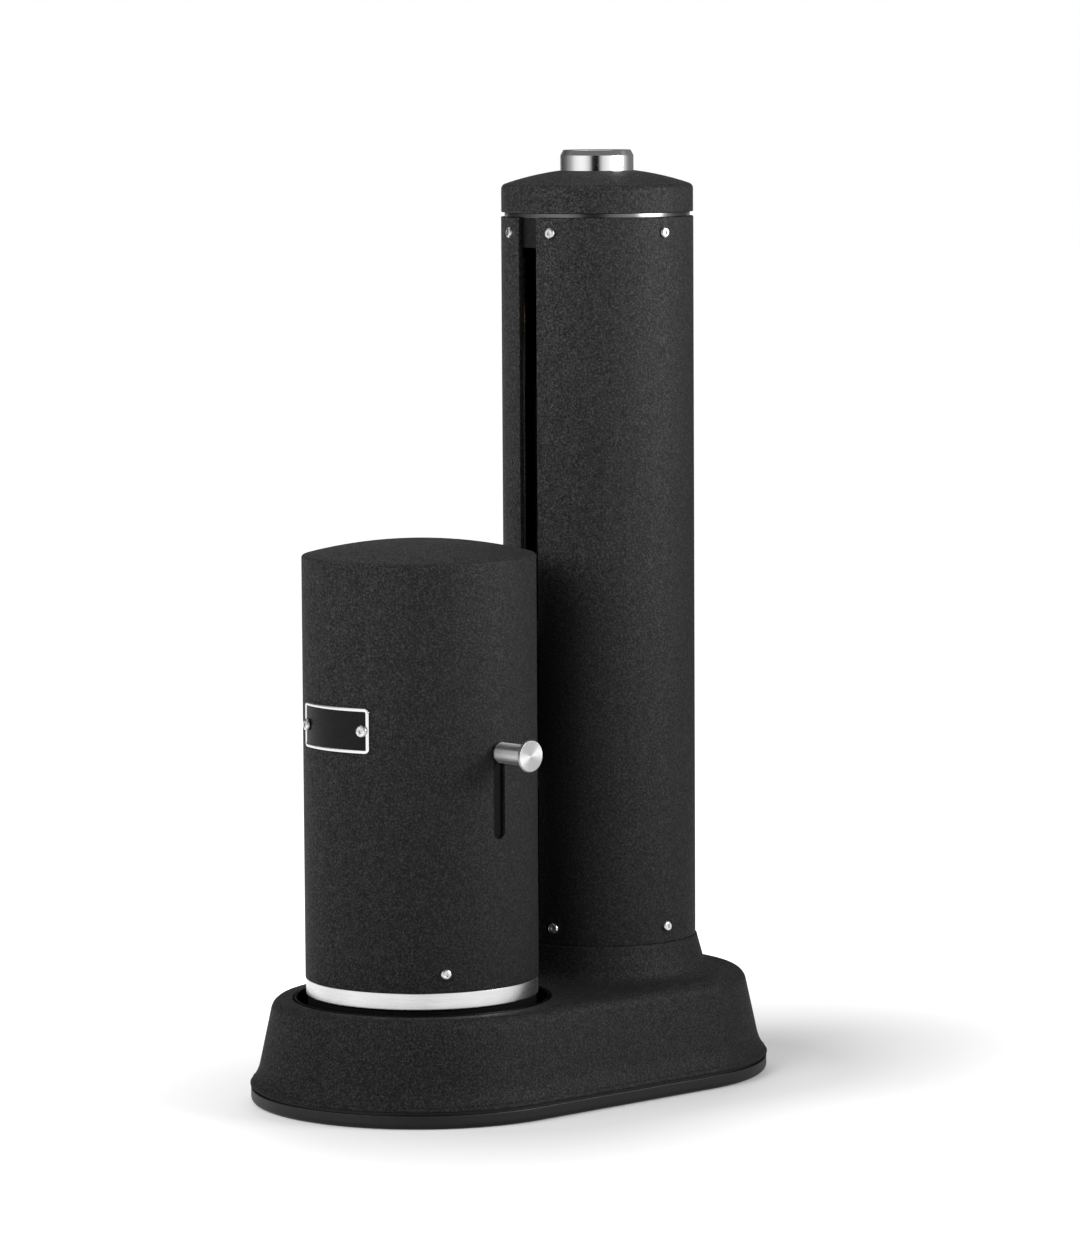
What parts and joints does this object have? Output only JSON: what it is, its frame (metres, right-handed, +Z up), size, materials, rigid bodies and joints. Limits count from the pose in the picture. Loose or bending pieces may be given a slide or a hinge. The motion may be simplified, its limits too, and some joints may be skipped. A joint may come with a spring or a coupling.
{
  "type": "countertop sparkling water maker",
  "caption": "Countertop water carbonator with a sliding domed front shell, a side lever, a push button and a gas cylinder inside a slotted rear column, on a stadium base.",
  "frame": {"origin": "middle of the foot on the surface it stands on", "axes": "+Z up, -Y towards the front shell, +X towards the side lever"},
  "size_m": [0.153, 0.258, 0.414],
  "materials": {
    "black_powder_coat": "fine textured matte black powder coat",
    "smooth_dark_band": "smooth satin black",
    "gloss_black_lip": "gloss black",
    "polished_steel": "polished stainless steel",
    "screw_steel": "bright steel screw heads",
    "brushed_steel": "plain satin steel",
    "cast_metal": "black coated casting",
    "brass_fitting": "turned brass",
    "bronze_bush": "sintered bronze",
    "black_rubber": "soft matte rubber",
    "hose_plastic": "extruded pressure hose",
    "pale_plastic": "natural acetal",
    "dark_plastic": "moulded dark plastic",
    "cylinder_paint": "smooth dark enamel"
  },
  "bodies": {
    "root": {"base_shell": "black_powder_coat", "foot_band": "smooth_dark_band", "bottom_plate": "smooth_dark_band", "bottom_screws": "screw_steel", "well_tray": "gloss_black_lip", "drip_plate": "brushed_steel", "landing_ring": "black_rubber", "column_foot": "cast_metal", "foot_bolts": "screw_steel", "column_tube": "black_powder_coat", "lower_column_screws": "screw_steel", "upper_column_screws": "screw_steel", "top_frame": "cast_metal", "guide_rods": "brushed_steel", "rod_stops": "black_rubber", "cap_ring": "polished_steel", "column_cap": "black_powder_coat", "cap_screws": "screw_steel", "valve_socket": "brass_fitting", "socket_seal": "black_rubber", "relief_valve": "brass_fitting", "top_hose_fitting": "brass_fitting", "column_hose": "hose_plastic", "button_bush": "pale_plastic", "button_spring": "brushed_steel"},
    "button": {"push_button": "polished_steel", "button_stem": "brushed_steel"},
    "gas_cylinder": {"gas_cylinder": "cylinder_paint", "cylinder_valve": "brass_fitting"},
    "valve_pin": {"valve_pin": "brushed_steel"},
    "front_shell": {"front_shell": "black_powder_coat", "shell_trim_ring": "brushed_steel", "shell_screws": "screw_steel", "chamber_liner": "dark_plastic", "carriage": "cast_metal", "carriage_bushes": "bronze_bush", "arm_screws": "screw_steel", "carriage_hose_fitting": "brass_fitting", "arm_port": "brass_fitting", "nozzle_hose": "hose_plastic", "name_plate": "gloss_black_lip", "plate_frame": "polished_steel", "plate_screws": "screw_steel"},
    "lever": {"lever_stem": "brushed_steel", "lever_head": "brushed_steel", "slider_block": "pale_plastic", "slot_shutter": "dark_plastic", "nozzle_yoke": "brushed_steel", "nozzle_head": "dark_plastic", "nozzle_seal": "black_rubber", "nozzle_tube": "brushed_steel", "nozzle_tip": "brushed_steel"}
  },
  "joints": [
    {"name": "shell_lift", "type": "slide", "parent": "root", "child": "front_shell", "axis": [0, 0, 1], "range_m": [0, 0.16], "deforming": ["column_hose"]},
    {"name": "lever_slide", "type": "slide", "parent": "front_shell", "child": "lever", "axis": [0, 0, -1], "range_m": [0, 0.0345], "deforming": ["nozzle_hose"]},
    {"name": "button_push", "type": "slide", "parent": "root", "child": "button", "axis": [0, 0, -1], "range_m": [0, 0.003], "stiffness_N_per_m": 900, "springref_m": -0.003, "deforming": ["button_spring"]},
    {"name": "cylinder_unscrew", "type": "hinge", "parent": "root", "child": "gas_cylinder", "pos_m": [0, 0.0545, 0], "axis": [0, 0, 1], "range_deg": [0, 540]},
    {"name": "valve_pin_slide", "type": "slide", "parent": "gas_cylinder", "child": "valve_pin", "axis": [0, 0, -1], "range_m": [0, 0.003]}
  ],
  "couplings": [
    {"joint": "valve_pin_slide", "follows": "button_push", "ratio": 1}
  ]
}
